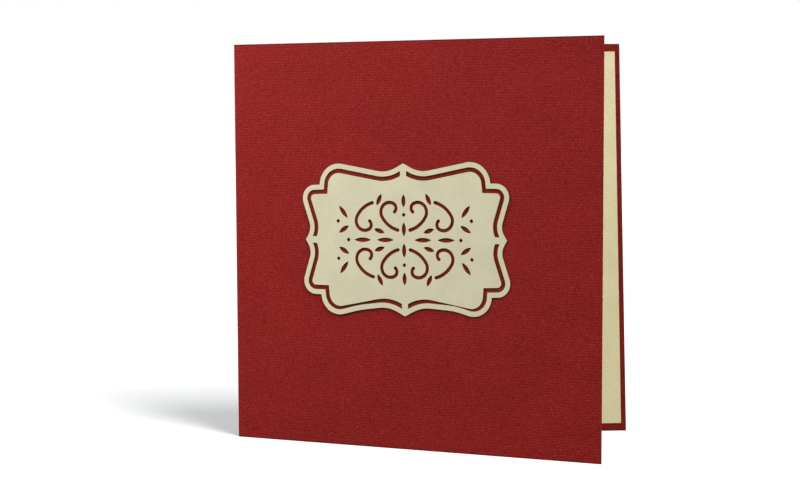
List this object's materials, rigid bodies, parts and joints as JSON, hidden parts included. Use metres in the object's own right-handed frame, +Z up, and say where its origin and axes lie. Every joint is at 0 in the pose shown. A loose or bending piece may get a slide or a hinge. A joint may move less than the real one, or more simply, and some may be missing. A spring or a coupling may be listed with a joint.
{
  "type": "pop up card",
  "caption": "Square folded greeting card standing half open, with a laser-cut bracket label on the front and a tiered cake of slotted paper slices inside.",
  "frame": {"origin": "on the ground under the middle of the card's bounding box", "axes": "+Z up along the spine, +X from the spine out through the mouth, -Y on the side of the front half"},
  "size_m": [0.1458, 0.092, 0.15],
  "materials": {
    "red_card": "matte",
    "cream_sheet": "matte",
    "cream_card": "matte"
  },
  "bodies": {
    "root": {"cover": "red_card", "insert_sheet": "cream_sheet", "front_label": "cream_card", "cake_slice_a1": "cream_card", "cake_slice_a2": "cream_card", "cake_slice_a3": "cream_card", "cake_slice_a4": "cream_card", "cake_slice_a5": "cream_card", "cake_slice_a6": "cream_card", "cake_slice_a7": "cream_card", "cake_slice_b1": "cream_card", "cake_slice_b2": "cream_card", "cake_slice_b3": "cream_card", "cake_slice_b4": "cream_card", "cake_slice_b5": "cream_card", "cake_slice_b6": "cream_card", "cake_slice_b7": "cream_card"}
  },
  "joints": []
}
